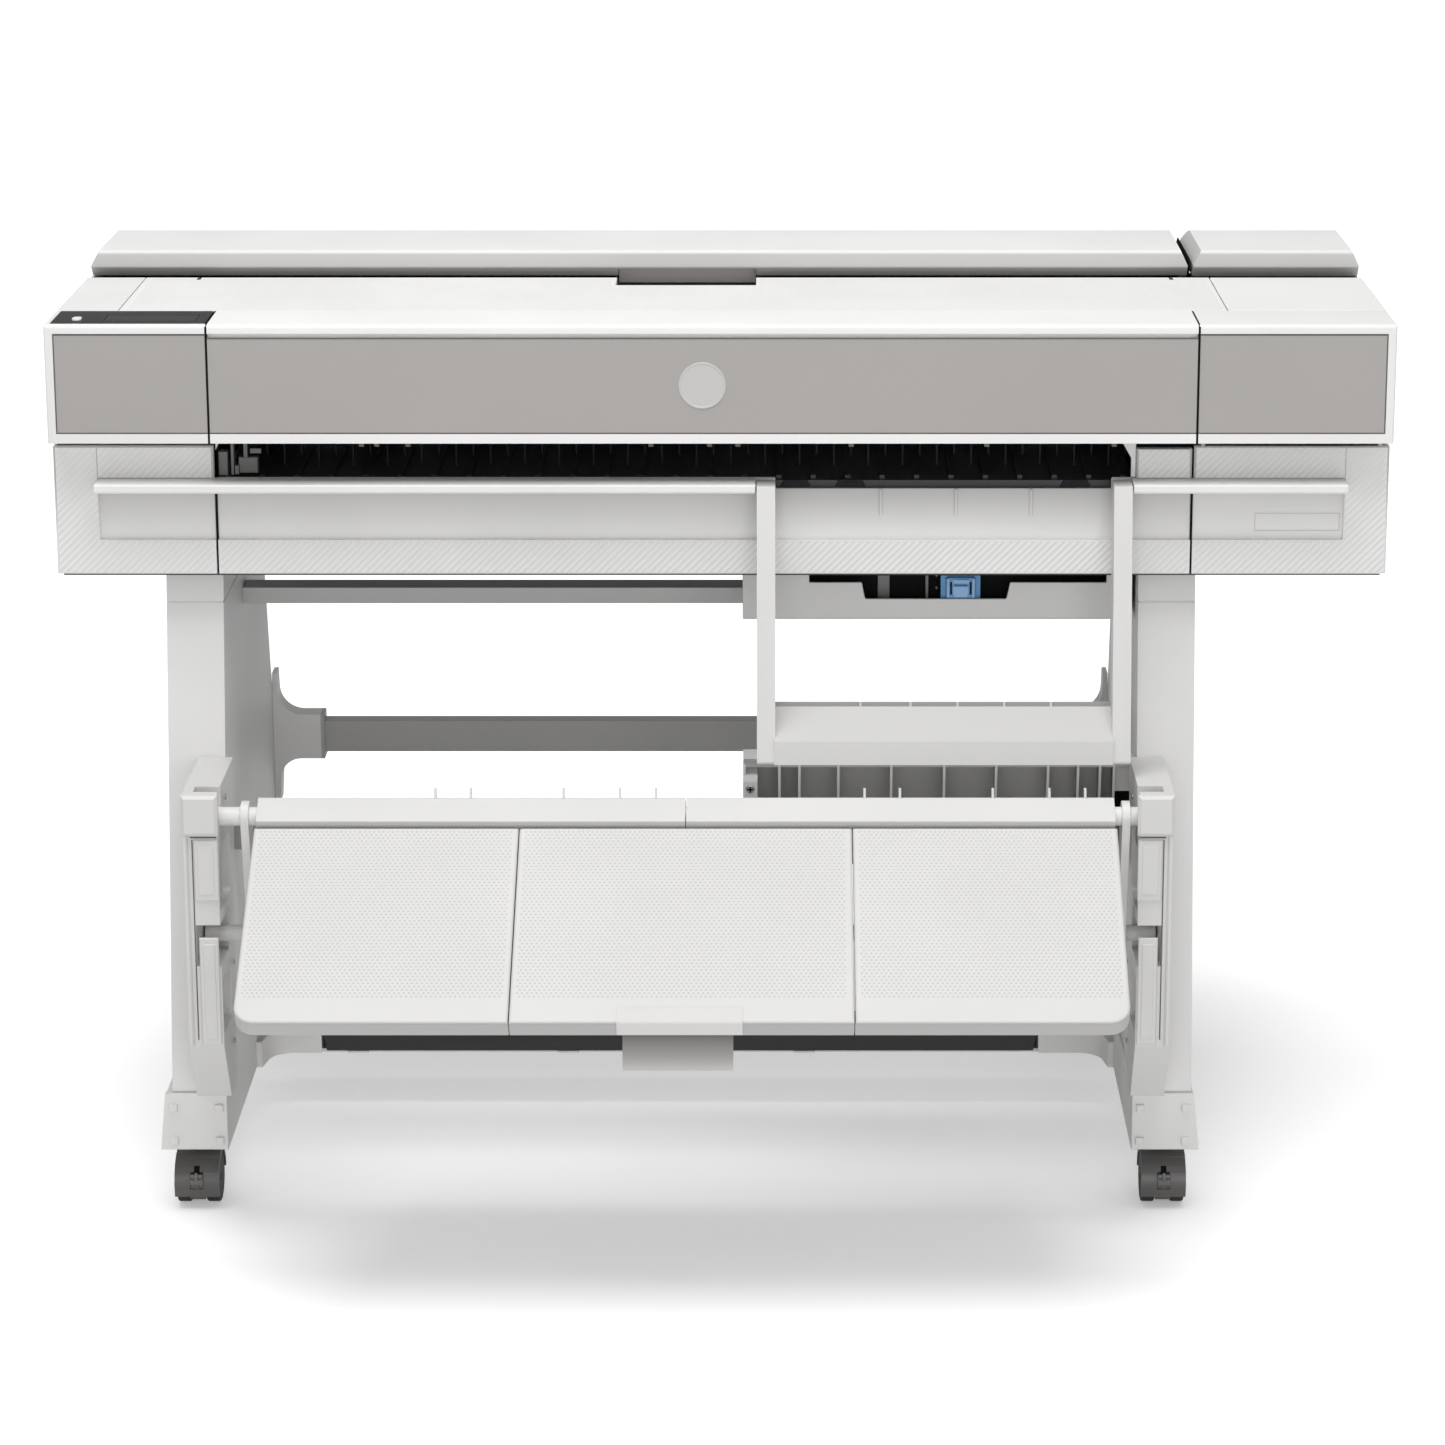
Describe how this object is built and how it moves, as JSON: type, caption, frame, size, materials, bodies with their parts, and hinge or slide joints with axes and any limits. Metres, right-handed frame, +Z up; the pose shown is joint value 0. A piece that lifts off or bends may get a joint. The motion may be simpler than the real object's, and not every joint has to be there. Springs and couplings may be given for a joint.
{
  "type": "large format plotter",
  "caption": "Floor-standing large format inkjet plotter on a wheeled stand, with lift-up lid, rear roll cover, front exit slot, sheet deflector and folding stacker tray.",
  "frame": {"origin": "on the floor, under the middle of the bounding box", "axes": "+X to the right along the width as seen from the front, +Y from the front to the back, +Z up"},
  "size_m": [1.313, 0.8079, 0.932],
  "materials": {
    "cover_white": "fine moulded texture, satin",
    "deck_white": "moulded dot texture, satin",
    "taupe_panel": "fine matt",
    "panel_black": "gloss",
    "screen_black": "gloss",
    "button_white": "satin",
    "inner_black": "matt",
    "chassis_steel": "dark coated sheet",
    "bright_steel": "ground",
    "roller_rubber": "matt",
    "stand_grey": "powder coat",
    "rail_grey": "powder coat",
    "stand_plastic": "fine moulded texture, satin",
    "latch_blue": "satin",
    "caster_black": "moulded, satin",
    "wheel_black": "tread",
    "flap_grey": "satin",
    "cartridge_grey": "satin",
    "board_green": "lacquered"
  },
  "bodies": {
    "printer": {"chassis": "chassis_steel", "left_lower_cover": "cover_white", "centre_lower_cover": "cover_white", "right_lower_cover": "cover_white", "exit_ledge": "cover_white", "left_end_cover": "cover_white", "left_fascia_panel": "taupe_panel", "control_panel": "panel_black", "display_screen": "screen_black", "right_end_cover": "deck_white", "roll_end_cover": "cover_white", "rear_cover": "cover_white", "platen": "inner_black", "carriage_rail": "bright_steel", "drive_belt": "roller_rubber", "drive_motors": "chassis_steel", "ink_supply": "cartridge_grey", "service_station": "inner_black", "electronics": "board_green", "underside_housing": "stand_plastic", "left_leg": "stand_grey", "right_leg": "stand_grey", "left_foot": "stand_grey", "right_foot": "stand_grey", "left_console": "stand_plastic", "right_console": "stand_plastic", "stand_bolts": "stand_grey", "upper_rail": "rail_grey", "lower_beam": "rail_grey", "cross_brace": "stand_grey", "lower_trough": "inner_black", "back_guide": "stand_grey"},
    "lid": {"top_lid": "deck_white", "lid_fascia_panel": "taupe_panel"},
    "roll_cover": {"roll_cover": "cover_white"},
    "ink_door": {"ink_door": "cover_white", "ink_door_panel": "taupe_panel"},
    "power_button": {"power_button": "button_white"},
    "blue_latch": {"blue_latch": "latch_blue"},
    "deflector": {"deflector_frame": "stand_plastic"},
    "tray": {"tray_panels": "deck_white", "tray_rear_covers": "stand_plastic", "tray_rods": "stand_grey"},
    "tray_flap": {"tray_flap": "flap_grey"},
    "carriage": {"carriage": "inner_black"},
    "drive_pulley": {"drive_pulley": "bright_steel"},
    "idler_pulley": {"idler_pulley": "bright_steel"},
    "feed_roller": {"feed_roller": "roller_rubber"},
    "pinch_rollers": {"pinch_rollers": "roller_rubber"},
    "roll_spindle": {"roll_spindle": "inner_black"},
    "front_left_caster": {"front_left_caster": "caster_black"},
    "front_left_wheels": {"front_left_wheels": "wheel_black"},
    "rear_left_caster": {"rear_left_caster": "caster_black"},
    "rear_left_wheels": {"rear_left_wheels": "wheel_black"},
    "front_left_brake": {"front_left_brake": "caster_black"},
    "front_right_caster": {"front_right_caster": "caster_black"},
    "front_right_wheels": {"front_right_wheels": "wheel_black"},
    "rear_right_caster": {"rear_right_caster": "caster_black"},
    "rear_right_wheels": {"rear_right_wheels": "wheel_black"},
    "front_right_brake": {"front_right_brake": "caster_black"}
  },
  "joints": [
    {"name": "lid_hinge", "type": "hinge", "parent": "printer", "child": "lid", "pos_m": [0, 0.15795, 0.898], "axis": [-1, 0, 0], "range_deg": [0, 60]},
    {"name": "roll_cover_hinge", "type": "hinge", "parent": "printer", "child": "roll_cover", "pos_m": [0, 0.32795, 0.898], "axis": [-1, 0, 0], "range_deg": [0, 85]},
    {"name": "ink_door_hinge", "type": "hinge", "parent": "printer", "child": "ink_door", "pos_m": [0.56, -0.09205, 0.797], "axis": [1, 0, 0], "range_deg": [0, 95]},
    {"name": "power_button_press", "type": "slide", "parent": "printer", "child": "power_button", "axis": [0, 0, -1], "range_m": [0, 0.0015], "stiffness_N_per_m": 300},
    {"name": "blue_latch_slide", "type": "slide", "parent": "printer", "child": "blue_latch", "axis": [1, 0, 0], "range_m": [-0.07, 0]},
    {"name": "deflector_swing", "type": "hinge", "parent": "printer", "child": "deflector", "pos_m": [0.21, -0.08905, 0.743], "axis": [1, 0, 0], "range_deg": [-25, 0]},
    {"name": "tray_fold", "type": "hinge", "parent": "printer", "child": "tray", "pos_m": [0, -0.18405, 0.435], "axis": [-1, 0, 0], "range_deg": [0, 90]},
    {"name": "tray_flap_swing", "type": "hinge", "parent": "tray", "child": "tray_flap", "pos_m": [-0.038, -0.38687, 0.28576], "axis": [-1, 0, 0], "range_deg": [0, 55]},
    {"name": "front_left_swivel", "type": "hinge", "parent": "printer", "child": "front_left_caster", "pos_m": [-0.533, -0.08405, 0.067], "axis": [0, 0, 1], "continuous": true},
    {"name": "front_left_roll", "type": "hinge", "parent": "front_left_caster", "child": "front_left_wheels", "pos_m": [-0.533, -0.09905, 0.025], "axis": [1, 0, 0], "continuous": true},
    {"name": "rear_left_swivel", "type": "hinge", "parent": "printer", "child": "rear_left_caster", "pos_m": [-0.533, 0.35995, 0.067], "axis": [0, 0, 1], "continuous": true},
    {"name": "rear_left_roll", "type": "hinge", "parent": "rear_left_caster", "child": "rear_left_wheels", "pos_m": [-0.533, 0.37495, 0.025], "axis": [1, 0, 0], "continuous": true},
    {"name": "front_left_brake_pull", "type": "hinge", "parent": "front_left_caster", "child": "front_left_brake", "pos_m": [-0.533, -0.12705, 0.036], "axis": [-1, 0, 0], "range_deg": [0, 25]},
    {"name": "front_right_swivel", "type": "hinge", "parent": "printer", "child": "front_right_caster", "pos_m": [0.446, -0.08405, 0.067], "axis": [0, 0, 1], "continuous": true},
    {"name": "front_right_roll", "type": "hinge", "parent": "front_right_caster", "child": "front_right_wheels", "pos_m": [0.446, -0.09905, 0.025], "axis": [1, 0, 0], "continuous": true},
    {"name": "rear_right_swivel", "type": "hinge", "parent": "printer", "child": "rear_right_caster", "pos_m": [0.446, 0.35995, 0.067], "axis": [0, 0, 1], "continuous": true},
    {"name": "rear_right_roll", "type": "hinge", "parent": "rear_right_caster", "child": "rear_right_wheels", "pos_m": [0.446, 0.37495, 0.025], "axis": [1, 0, 0], "continuous": true},
    {"name": "front_right_brake_pull", "type": "hinge", "parent": "front_right_caster", "child": "front_right_brake", "pos_m": [0.446, -0.12705, 0.036], "axis": [-1, 0, 0], "range_deg": [0, 25]},
    {"name": "carriage_travel", "type": "slide", "parent": "printer", "child": "carriage", "axis": [1, 0, 0], "range_m": [-1, 0]},
    {"name": "drive_pulley_spin", "type": "hinge", "parent": "printer", "child": "drive_pulley", "pos_m": [0.53, 0.10795, 0.872], "axis": [0, 1, 0], "continuous": true},
    {"name": "idler_pulley_spin", "type": "hinge", "parent": "printer", "child": "idler_pulley", "pos_m": [-0.62, 0.10795, 0.872], "axis": [0, 1, 0], "continuous": true},
    {"name": "feed_roller_spin", "type": "hinge", "parent": "printer", "child": "feed_roller", "pos_m": [0, 0.12395, 0.734], "axis": [1, 0, 0], "continuous": true},
    {"name": "pinch_rollers_spin", "type": "hinge", "parent": "printer", "child": "pinch_rollers", "pos_m": [0, 0.12395, 0.7574], "axis": [1, 0, 0], "continuous": true},
    {"name": "roll_spindle_spin", "type": "hinge", "parent": "printer", "child": "roll_spindle", "pos_m": [0, 0.25095, 0.8], "axis": [1, 0, 0], "continuous": true}
  ],
  "couplings": [
    {"joint": "drive_pulley_spin", "follows": "carriage_travel", "rad_per_m": -83.333},
    {"joint": "idler_pulley_spin", "follows": "carriage_travel", "rad_per_m": -83.333},
    {"joint": "pinch_rollers_spin", "follows": "feed_roller_spin", "ratio": -1.5556}
  ]
}
